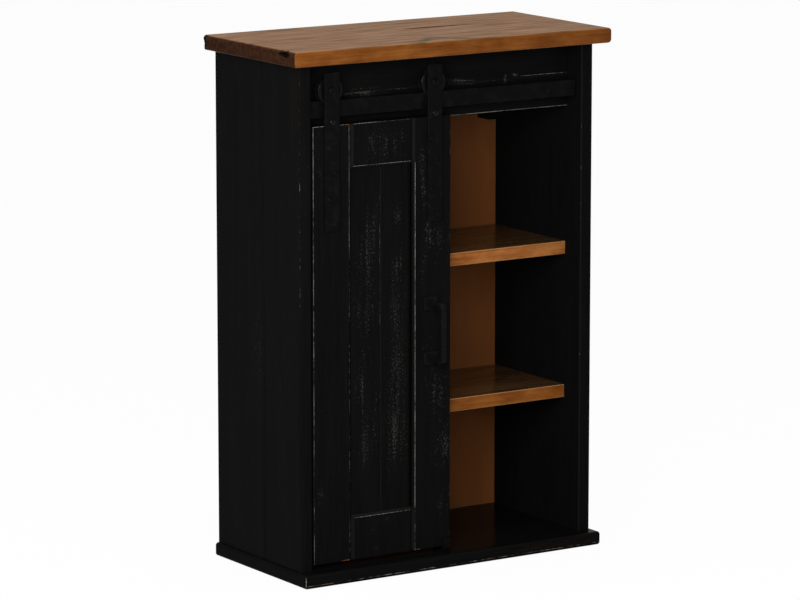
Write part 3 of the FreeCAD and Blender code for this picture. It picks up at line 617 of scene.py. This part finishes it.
class CABINET_OT_top_board(bpy.types.Operator):
    """Makes the honey pine top, with its drying check, its open knot and its chipped corner"""
    bl_idname = "cabinet.top_board"
    bl_label = "Top Board"

    # Spacing of the cuts over the board, near its left end, near the swirl and from face to face.
    board_step = 5 * MM
    end_step = 1.3 * MM
    swirl_step = 2 * MM
    height_step = 1.2 * MM
    # The drying check on the upper face: cuts on each side of it, its run along X, its place across,
    # the reach of the crack and of its stain, and how dark both are.
    check_cuts = 13
    check_step = 0.6 * MM
    check_run = (0.002, 0.126)
    check_y = 0.0238
    check_reach = 0.0024
    check_wander = 1.2 * MM
    check_wander_scale = 60
    check_lean = 0.7
    check_dark = 1.6
    stain_reach = 0.0068
    stain_dark = 1.4
    stain_limit = 0.62
    # The open knot in the left end: its place across and up, its reach, its rag and the span of its cuts.
    knot_place = (-0.087, 0.6952)
    knot_reach = (0.0115, 0.0036)
    knot_rag = 0.5
    knot_rag_scale = 300
    knot_edge = 1.3
    knot_dark = 2
    knot_cuts = (-0.017, 0.015)
    # The buried knot at the front edge pushes the rings aside, and a grey swirl runs round it.
    push_place = (-0.008, -0.112)
    push_reach = (0.05, 0.045)
    push_depth = 0.012
    swirl_place = (-0.014, -0.112)
    swirl_rise = 0.034
    swirl_reach = (0.03, 0.0095)
    swirl_fade = 0.4
    swirl_depth = 4 * MM
    swirl_patch_scale = (60, 330)
    swirl_patchiness = 1.1
    swirl_cuts = (0.005, 0.055)
    # The splintered back corner of the left end, and how it darkens towards the corner.
    chip_z = 0.6885
    chip_reach = (0.007, 0.0085)
    chip_depth = 3 * MM
    chip_base = 0.55
    chip_rag = 0.9
    chip_rag_scale = 260
    chip_cuts = 0.011
    corner_dark = 1.6
    corner_reach = 9 * MM
    corner_depth = 4 * MM
    # The broken upper arris of the left end.
    arris_reach = 4 * MM
    arris_depth = 1 * MM
    arris_rag_scale = 130
    arris_base = 0.2
    arris_dark = 0.6
    # How far in from the left end its features go, and how far below the upper face still counts as on it.
    end_depth = 6 * MM
    face_margin = 0.1 * MM

    def execute(self, context):
        low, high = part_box("top_board")
        shape = copy_of_node("top_board")
        self.cut_finely(shape, low, high)
        knot = shape.verts.layers.float.new("knot")
        push = shape.verts.layers.float.new("push")
        swirl = shape.verts.layers.float.new("swirl")
        making = context.scene.cabinet_making
        for vertex in shape.verts:
            vertex[push] = self.figure_push(vertex.co)
            vertex[swirl] = self.grey_swirl(vertex.co, high.z)
        for vertex in shape.verts:
            place = vertex.co.copy()
            check = self.drying_check(place, high.z, self.check_reach)
            stain = self.stain_dark * self.drying_check(place, high.z, self.stain_reach)
            hole = self.open_knot(place, low.x)
            chip = self.chipped_corner(place, low.x, high.y)
            corner = self.dark_corner(place, low.x, high.y)
            arris = self.ragged_arris(place, low.x, high.z)
            dark = max(self.check_dark * check, min(self.stain_limit, stain), self.knot_dark * hole,
                       corner, self.arris_dark * arris)
            vertex[knot] = min(1.0, dark)
            inward = hole * making.knot_depth + chip * self.chip_depth + arris * self.arris_depth
            drop = check * making.check_depth + arris * self.arris_depth
            vertex.co += Vector((inward, 0, -drop))
        look = context.scene.cabinet_finish
        # The upper face takes the paler tone, partly wear and partly painted sheen.
        pine = honey_pine("honey_pine", shade=1.0, flat_share=0.35, flat_tone=look.pine_bleached_and_sheen,
                          specular=0.05)
        finished_piece("pine_top_board", shape, pine, "carcass", "honey_pine", "top_board")
        return {"FINISHED"}

    def cut_finely(self, shape, low, high):
        """Cuts the board where its features need vertices."""
        cut(shape, AXES["X"], steps(low.x, high.x, self.board_step))
        cut(shape, AXES["Y"], steps(low.y, high.y, self.board_step))
        check_range = range(-self.check_cuts, self.check_cuts + 1)
        cut(shape, AXES["Y"], [self.check_y + index * self.check_step for index in check_range])
        knot_start, knot_end = [self.knot_place[0] + reach for reach in self.knot_cuts]
        cut(shape, AXES["Y"], steps(knot_start, knot_end, self.end_step))
        cut(shape, AXES["Y"], steps(high.y - self.chip_cuts, high.y, self.end_step))
        swirl_start, swirl_end = [low.y + reach for reach in self.swirl_cuts]
        cut(shape, AXES["Y"], steps(swirl_start, swirl_end, self.swirl_step))
        cut(shape, AXES["Z"], steps(low.z + MM, high.z - MM, self.height_step))

    def figure_push(self, place):
        """How far the rings are pushed aside round the buried knot at the front edge."""
        along = (place.x - self.push_place[0]) / self.push_reach[0]
        across = (place.y - self.push_place[1]) / self.push_reach[1]
        return self.push_depth * math.exp(-along ** 2 - across ** 2)

    def grey_swirl(self, place, top):
        """How grey the weathered swirl at the front edge is at a point on the top."""
        along = (place.x - self.swirl_place[0]) / self.swirl_reach[0]
        crest = self.swirl_place[1] + self.swirl_rise * math.exp(-along ** 2)
        across = (place.y - crest) / self.swirl_reach[1]
        height = max(0.0, 1 - (top - place.z) / self.swirl_depth)
        spot = (place.x * self.swirl_patch_scale[0], place.y * self.swirl_patch_scale[1], 1.5)
        patchy = max(0.0, 1.0 + self.swirl_patchiness * noise.noise(spot))
        return height * patchy * math.exp(-self.swirl_fade * along ** 2 - across ** 2)

    def drying_check(self, place, top, reach):
        """How deep the drying check is at a point on the top, or with a wider reach how dark its stain."""
        share = (place.x - self.check_run[0]) / (self.check_run[1] - self.check_run[0])
        if place.z < top - self.face_margin or not 0 < share < 1:
            return 0.0
        wander = noise.noise((place.x * self.check_wander_scale, 0, 3))
        middle = self.check_y + self.check_wander * wander
        width = reach * math.sin(math.pi * share ** self.check_lean)
        return max(0.0, 1 - abs(place.y - middle) / width)

    def open_knot(self, place, end):
        """How deep the open knot is at a point on the left end."""
        if place.x > end + self.end_depth:
            return 0.0
        away = math.hypot((place.y - self.knot_place[0]) / self.knot_reach[0],
                          (place.z - self.knot_place[1]) / self.knot_reach[1])
        away += self.knot_rag * noise.noise(place * self.knot_rag_scale)
        return min(1.0, max(0.0, self.knot_edge - away))

    def ragged_arris(self, place, end, top):
        """How far the upper arris of the left end is broken away at a point."""
        away = math.hypot(place.x - end, place.z - top) / self.arris_reach
        rag = noise.noise((place.y * self.arris_rag_scale, 0, 7)) + self.arris_base
        return max(0.0, 1 - away) * max(0.0, rag)

    def dark_corner(self, place, end, back):
        """How dark the back corner of the left end is at a point."""
        if place.x > end + self.corner_depth:
            return 0.0
        return max(0.0, self.corner_dark * (1 - (back - place.y) / self.corner_reach))

    def chipped_corner(self, place, end, back):
        """How far the splintered back corner of the left end is broken away at a point."""
        if place.x > end + self.end_depth:
            return 0.0
        away = math.hypot((place.y - back) / self.chip_reach[0],
                          (place.z - self.chip_z) / self.chip_reach[1])
        rag = self.chip_base + self.chip_rag * abs(noise.noise(place * self.chip_rag_scale))
        return max(0.0, 1 - away) * rag


class CABINET_OT_carcass_boards(bpy.types.Operator):
    """Makes the painted sides, bottom and header boards"""
    bl_idname = "cabinet.carcass_boards"
    bl_label = "Carcass Boards"

    def execute(self, context):
        self.sides()
        self.bottom()
        self.header()
        return {"FINISHED"}

    def sides(self):
        worn_board(
            "left_side", "carcass", "Z",
            [Rub("left", "front", 0.75, 0.5, start=330, end=660, brown=0.12, depth=0.75, spread=2.0),
             Rub("left", "front", 16.0, 0.42, start=592, end=668, brown=0.38, spread=1.2),
             Rub("left", "front", 8.0, 0.0, start=598, end=672, brown=0.3, spread=4.0),
             Rub("front", "right", 0.75, 0.35, depth=0.75, spread=2.0)],
            [Patch(10, 290, 14, 75, 0.25), Patch(-45, 262, 10, 30, 0.2), Patch(-90, 520, 4, 120, 0.2)],
            across="Y",
            # Dark lines where the boards of the left side are glued together.
            dark_joint_and_shade=[Rub("left", "front", 92.0, 0.6, spread=0.25),
                   Rub("left", "front", 156.5, 0.3, start=330, end=640, spread=0.4)],
            thin_and_lit_chamfers=False)
        worn_board(
            "right_side", "carcass", "Z",
            [Rub("front", "left", 0.75, 0.4, depth=0.75, spread=2.0),
             Rub("front", "right", 0.75, 0.3, depth=0.75, spread=2.0)])

    def bottom(self):
        """The bottom board, whose upper face has a sheen and darker paint, a painted shade."""
        board = worn_board(
            "bottom_board", "carcass", "X",
            [Rub("front", "bottom", 4.2, 0.62, spread=1.6),
             Rub("front", "left", 1.2, 0.8, depth=1.2, spread=2.0),
             Rub("front", "bottom", 5.0, 0.0, start=38, end=235, brown=0.36),
             Rub("front", "bottom", 9.5, 0.0, start=96, end=235, brown=0.36),
             Rub("front", "bottom", 13.0, 0.0, start=110, end=200, brown=0.36),
             Rub("front", "bottom", 4.5, 0.0, start=-224, end=-160, brown=0.36)],
            thin_and_lit_chamfers=False)
        board.data.materials.append(black_paint("X", sheen=1.0))
        for face in board.data.polygons:
            face.material_index = int(face.normal.z > UPWARD)

    def header(self):
        """The two boards behind the track, worn along the seam between them."""
        worn_board(
            "upper_header_board", "carcass", "X",
            [Rub("front", "bottom", 1.5, 0.3, start=-210, end=4),
             Rub("front", "bottom", 1.5, 0.62, start=4, end=70),
             Rub("front", "bottom", 1.5, 0.4, start=70, end=134),
             Rub("front", "bottom", 1.5, 0.72, start=134, end=210)],
            [Patch(-108, 655, 3, 3, 0.7), Patch(-112, 639, 36, 2.5, 0.42), Patch(36, 639, 34, 2.5, 0.58),
             Patch(110, 639, 2, 3, 0.7), Patch(125, 640, 5, 2.5, 0.9)])
        worn_board(
            "lower_header_board", "carcass", "X",
            [Rub("front", "bottom", 0.8, 0.9, depth=0.7, spread=2.0),
             Rub("front", "top", 1.5, 0.46, start=-145, end=-75),
             Rub("front", "top", 1.5, 0.62, start=-75, end=-44),
             Rub("front", "top", 1.5, 0.4, start=-44, end=210),
             Rub("front", "right", 1.5, 0.7, start=593, end=602)],
            [Patch(-112, 633.5, 36, 4, 0.62), Patch(50, 634, 44, 3, 0.36), Patch(110, 634, 2, 4, 0.8)])


class CABINET_OT_shelves(bpy.types.Operator):
    """Makes the two stained pine shelves"""
    bl_idname = "cabinet.shelves"
    bl_label = "Shelves"

    # How light and how pale the wood of each shelf is. The upper shelf is painted lighter and paler than the
    # lower one, as painted light and painted highlight.
    painted_light_and_pallor = {"upper_shelf": (1.8, 0.35), "lower_shelf": (1.17, 0.0)}

    def execute(self, context):
        tone = context.scene.cabinet_finish.pine_shaded
        for node, (shade, highlight_pallor) in self.painted_light_and_pallor.items():
            # The shelf tops take the dark pine_shaded tone, a painted shade, under a glossy finish.
            pine = honey_pine("pine_of_" + node, shade, flat_share=0.03, flat_tone=tone, specular=0.04,
                              flat_specular=0.5, polish=0.22, arris=0.6, highlight_pallor=highlight_pallor)
            finished_piece("pine_" + node, copy_of_node(node), pine, "carcass", "stained_shelf_pine", node)
        return {"FINISHED"}


class CABINET_OT_back_panel(bpy.types.Operator):
    """Finishes the back board"""
    bl_idname = "cabinet.back_panel"
    bl_label = "Back Panel"

    def execute(self, context):
        finish_nodes(fibre_board(), "back_panel")
        return {"FINISHED"}


class CABINET_OT_door(bpy.types.Operator):
    """Makes the framed door with its two panel boards"""
    bl_idname = "cabinet.door"
    bl_label = "Door"

    def execute(self, context):
        self.stiles()
        self.rails()
        self.panel()
        return {"FINISHED"}

    def stiles(self):
        worn_board(
            "left_stile", "door", "Z",
            [Rub("front", "left", 1.0, 0.72, start=180, end=600),
             Rub("front", "left", 1.0, 0.6, start=24, end=180),
             Rub("front", "right", 3.5, 0.82, start=440, end=600),
             Rub("front", "right", 3.5, 0.58, start=24, end=440),
             Rub("front", "top", 0.3, 0.85), Rub("front", "top", 0.5, 0.9, start=-156, end=-149, brown=0.5),
             Rub("front", "bottom", 0.5, 0.9, start=-162, end=-149, brown=0.6)],
            [Patch(-198, 538, 5, 36, 0.28), Patch(-195, 114, 7, 20, 0.28)])
        worn_board(
            "right_stile", "door", "Z",
            [Rub("front", "left", 3.5, 0.88, start=84, end=543),
             Rub("front", "left", 3.5, 0.6, start=24, end=83),
             Rub("front", "right", 1.0, 0.5), Rub("front", "bottom", 0.5, 0.8, start=-52, end=-38)],
            [Patch(-37, 548, 4, 18, 0.4), Patch(-36, 515, 5, 29, 0.4), Patch(-27, 466, 5, 29, 0.42),
             Patch(-16, 436, 20, 24, 0.24), Patch(-36, 393, 5, 29, 0.28), Patch(-30, 297, 7, 20, 0.3),
             Patch(-14, 230, 19, 37, 0.3), Patch(-6, 159, 13, 28, 0.38), Patch(-5, 81, 10, 14, 0.3)],
            # Painted shade on the stile's inner wall, in the corner beside the panel.
            dark_joint_and_shade=[Rub("left", "front", 5.0, 1.0, start=84, end=539)])

    def rails(self):
        worn_board(
            "door_top_rail", "door", "Z",
            [Rub("front", "bottom", 3.5, 0.88), Rub("front", "top", 0.5, 0.78, start=-150, end=-105),
             Rub("front", "top", 0.5, 0.66, start=-105, end=-40)],
            [Patch(-114, 571, 12, 20, 0.28), Patch(-97, 568, 3.5, 30, 0.5), Patch(-76, 571, 16, 18, 0.32)])
        worn_board(
            "door_bottom_rail", "door", "Z", [Rub("front", "top", 3.5, 0.78)],
            [Patch(-111, 34, 2.5, 2.5, 0.6), Patch(-116, 60, 5, 4, 0.3), Patch(-100, 72, 20, 3, 0.25)])

    def panel(self):
        worn_board(
            "left_panel_board", "door", "Z",
            [Rub("front", "right", 5.0, 0.58, start=320, end=500),
             Rub("front", "right", 5.0, 0.42, start=130, end=530)],
            [Patch(-115, 455, 9, 34, 0.44), Patch(-102, 476, 4, 31, 0.36), Patch(-120, 412, 14, 36, 0.31),
             Patch(-123, 347, 20, 30, 0.18), Patch(-131, 252, 10, 45, 0.33), Patch(-124, 166, 8, 40, 0.28),
             Patch(-107, 204, 5, 46, 0.24), Patch(-120, 290, 30, 150, 0.1)])
        worn_board(
            "right_panel_board", "door", "Z", [Rub("front", "left", 1.0, 0.35, start=330, end=530)],
            [Patch(-74, 472, 12, 16, 0.34), Patch(-71, 405, 13, 36, 0.36), Patch(-76, 345, 18, 29, 0.24),
             Patch(-72, 273, 16, 50, 0.2), Patch(-82, 186, 12, 60, 0.41), Patch(-62, 177, 8, 47, 0.24),
             Patch(-74, 270, 22, 130, 0.08)],
            # Painted shade along the panel's right edge, in the corner against the stile.
            dark_joint_and_shade=[Rub("front", "right", 9.0, 0.9)])


class CABINET_OT_domed_bolts(bpy.types.Operator):
    """Makes the bolts and screws on the straps, with smooth domed heads"""
    bl_idname = "cabinet.domed_bolts"
    bl_label = "Domed Bolts"

    # Radius of each shank in millimetres, and how high a head is for its radius.
    shanks = {"strap_screws": 2.0, "keeper_bolts": 2.5, "left_axle_bolt": 4.0, "right_axle_bolt": 4.0}
    head_share = 0.5

    def execute(self, context):
        iron = coated_iron("bolt_iron")
        polished = coated_iron("keeper_iron", polish=1.0)
        sides = context.scene.cabinet_making.bolt_sides
        for node, shank in self.shanks.items():
            shape = bmesh.new()
            for low, high in loose_boxes(node):
                self.bolt(shape, low, high, shank * MM, sides)
            finish = polished if node == "keeper_bolts" else iron
            finished_piece("domed_" + node, shape, finish, "door", "black_iron", node)
        return {"FINISHED"}

    def bolt(self, shape, low, high, shank, sides):
        """A dome that faces forward, and a shank behind it."""
        radius = (high.x - low.x) / 2
        height = self.head_share * radius
        middle = (low + high) / 2
        seat = Vector((middle.x, low.y + height, middle.z))
        forward = Matrix.Rotation(math.pi / 2, 4, "X")
        size = Matrix.Diagonal((radius, radius, height, 1))
        ball = bmesh.ops.create_uvsphere(shape, u_segments=sides, v_segments=sides // 2, radius=1.0,
                                         matrix=Matrix.Translation(seat) @ forward @ size)["verts"]
        parts = [part for vertex in ball for part in (vertex, *vertex.link_edges, *vertex.link_faces)]
        rim = bmesh.ops.bisect_plane(shape, geom=list(dict.fromkeys(parts)), plane_co=seat,
                                     plane_no=(0, 1, 0), dist=MERGE_DISTANCE, clear_outer=True)["geom_cut"]
        rim = [part for part in rim if isinstance(part, bmesh.types.BMEdge)]
        bmesh.ops.contextual_create(shape, geom=rim)
        length = high.y - seat.y
        centre = Vector((middle.x, seat.y + length / 2, middle.z))
        bmesh.ops.create_cone(shape, cap_ends=True, segments=sides, radius1=shank, radius2=shank,
                              depth=length, matrix=Matrix.Translation(centre) @ forward)


def loose_boxes(node):
    """The box round each separate solid of a CAD node."""
    shape = copy_of_node(node)
    done = set()
    boxes = []
    for first in shape.verts:
        if first in done:
            continue
        found = set()
        rim = {first}
        while rim:
            found |= rim
            rim = {edge.other_vert(vertex) for vertex in rim for edge in vertex.link_edges} - found
        done |= found
        low = Vector([min(vertex.co[axis] for vertex in found) for axis in range(3)])
        high = Vector([max(vertex.co[axis] for vertex in found) for axis in range(3)])
        boxes.append((low, high))
    shape.free()
    return boxes


class CABINET_OT_hardware(bpy.types.Operator):
    """Finishes the iron track, straps, wheels, handle and floor guide"""
    bl_idname = "cabinet.hardware"
    bl_label = "Iron Hardware"

    def execute(self, context):
        finish_nodes(coated_iron(), "track_bar", "track_standoffs", "track_bolts", "floor_guide",
                     "left_strap", "right_strap")
        # The handle's iron is painted lighter than the other iron, a painted light.
        finish_nodes(coated_iron("lit_handle_iron", shade=1.6), "pull_handle")
        finish_nodes(coated_iron("wheel_iron", polish=0.6), "left_wheel", "right_wheel")
        return {"FINISHED"}


class CABINET_OT_small_pieces(bpy.types.Operator):
    """Finishes the plated fasteners, dowels, bushes, pins and hanger blocks"""
    bl_idname = "cabinet.small_pieces"
    bl_label = "Small Pieces"

    def execute(self, context):
        look = context.scene.cabinet_finish
        dull = plain_finish("dull_steel", shaded(look.steel, share=0.2), roughness=0.5, metal=1.0)
        finish_nodes(dull, "shelf_pins")
        plated = plain_finish("plated_steel", look.steel, roughness=0.35, metal=1.0)
        finish_nodes(plated, "hanger_block_screws", "floor_guide_screws", "bottom_screws", "back_nails",
                     "axle_washers", "axle_nuts", "keeper_nuts", "handle_screws")
        finish_nodes(plain_finish("beech", look.beech, roughness=0.6), "top_dowels", "header_dowels")
        finish_nodes(plain_finish("nylon", look.nylon, roughness=0.4), "left_wheel_bush", "right_wheel_bush")
        finish_nodes(black_paint("Z"), "left_hanger_block", "right_hanger_block")
        return {"FINISHED"}


class CABINET_OT_stage(bpy.types.Operator):
    """Sets the camera, the soft light and the white floor"""
    bl_idname = "cabinet.stage"
    bl_label = "Stage"

    white = (1, 1, 1, 1)
    floor_white = (0.8, 0.8, 0.8)
    floor_grey = (0.35, 0.35, 0.35)

    def execute(self, context):
        stage = context.scene.cabinet_stage
        context.scene.view_settings.view_transform = "Standard"
        self.camera(context, stage)
        self.sky(context, stage)
        self.lamp(context, stage, "key", stage.key_place, stage.key_power, stage.key_size)
        self.lamp(context, stage, "fill", stage.fill_place, stage.fill_power, stage.soft_size)
        overhead = (0.0, 0.0, stage.overhead_height)
        self.lamp(context, stage, "overhead", overhead, stage.overhead_power, stage.soft_size)
        self.floor(context, stage)
        return {"FINISHED"}

    def camera(self, context, stage):
        data = bpy.data.cameras.new("camera")
        data.lens = stage.lens
        camera = bpy.data.objects.new("camera", data)
        turn = Euler((math.pi / 2 - stage.camera_pitch, 0, -stage.camera_yaw))
        camera.rotation_euler = turn
        back = turn.to_matrix() @ Vector((0, 0, stage.camera_distance))
        camera.location = Vector(stage.camera_target) + back
        context.scene.collection.objects.link(camera)
        context.scene.camera = camera

    def sky(self, context, stage):
        """Even white light from all round."""
        world = bpy.data.worlds.new("studio")
        context.scene.world = world
        world.use_nodes = True
        light = world.node_tree.nodes["Background"]
        light.inputs["Color"].default_value = self.white
        light.inputs["Strength"].default_value = stage.sky

    def lamp(self, context, stage, name, place, power, size):
        """A square lamp that is aimed at the middle of the picture."""
        data = bpy.data.lights.new(name, "AREA")
        data.shape = "SQUARE"
        data.size = size
        data.energy = power
        lamp = bpy.data.objects.new(name, data)
        lamp.location = place
        aim = Vector(stage.camera_target) - lamp.location
        lamp.rotation_euler = aim.to_track_quat("-Z", "Y").to_euler()
        context.scene.collection.objects.link(lamp)

    def floor(self, context, stage):
        """A floor that is seen as white with a faint shadow, and throws light back as a grey one would."""
        finish = Finish("white_floor")
        glow = finish.add("Emission", {"Color": self.white, "Strength": 1.0})
        path = finish.tree.nodes.new("ShaderNodeLightPath").outputs
        seen = finish.math("MAXIMUM", path["Is Camera Ray"], path["Is Glossy Ray"])
        seen = finish.math("MAXIMUM", seen, path["Is Transmission Ray"])
        diffuse = finish.add("BsdfDiffuse", {"Color": finish.blend(seen, self.floor_grey, self.floor_white)})
        finish.end(finish.add("MixShader", {0: finish.scaled(seen, stage.floor_glow), 1: diffuse, 2: glow}))
        shape = bmesh.new()
        bmesh.ops.create_grid(shape, x_segments=1, y_segments=1, size=stage.floor_size / 2)
        mesh = bpy.data.meshes.new("floor")
        shape.to_mesh(mesh)
        shape.free()
        mesh.materials.append(finish.material)
        floor = bpy.data.objects.new("floor", mesh)
        context.scene.collection.objects.link(floor)


OPERATORS = (CABINET_OT_top_board, CABINET_OT_carcass_boards, CABINET_OT_shelves, CABINET_OT_back_panel,
             CABINET_OT_door, CABINET_OT_domed_bolts, CABINET_OT_hardware, CABINET_OT_small_pieces,
             CABINET_OT_stage)


class CABINET_PT_panel(bpy.types.Panel):
    """Lists the steps that dress the cabinet"""
    bl_idname = "CABINET_PT_panel"
    bl_label = "Wall Cabinet"
    bl_space_type = "VIEW_3D"
    bl_region_type = "UI"
    bl_category = "Cabinet"

    def draw(self, context):
        for operator in OPERATORS:
            self.layout.operator(operator.bl_idname)


CLASSES = (CabinetFinish, CabinetMaking, CabinetStage, *OPERATORS, CABINET_PT_panel)


def register():
    for kind in CLASSES:
        bpy.utils.register_class(kind)
    bpy.types.Scene.cabinet_finish = PointerProperty(type=CabinetFinish)
    bpy.types.Scene.cabinet_making = PointerProperty(type=CabinetMaking)
    bpy.types.Scene.cabinet_stage = PointerProperty(type=CabinetStage)


def unregister():
    del bpy.types.Scene.cabinet_stage
    del bpy.types.Scene.cabinet_making
    del bpy.types.Scene.cabinet_finish
    for kind in reversed(CLASSES):
        bpy.utils.unregister_class(kind)


def main():
    register()
    bpy.ops.cabinet.top_board()
    bpy.ops.cabinet.carcass_boards()
    bpy.ops.cabinet.shelves()
    bpy.ops.cabinet.back_panel()
    bpy.ops.cabinet.door()
    bpy.ops.cabinet.domed_bolts()
    bpy.ops.cabinet.hardware()
    bpy.ops.cabinet.small_pieces()
    bpy.ops.cabinet.stage()


if __name__ == "__main__":
    main()
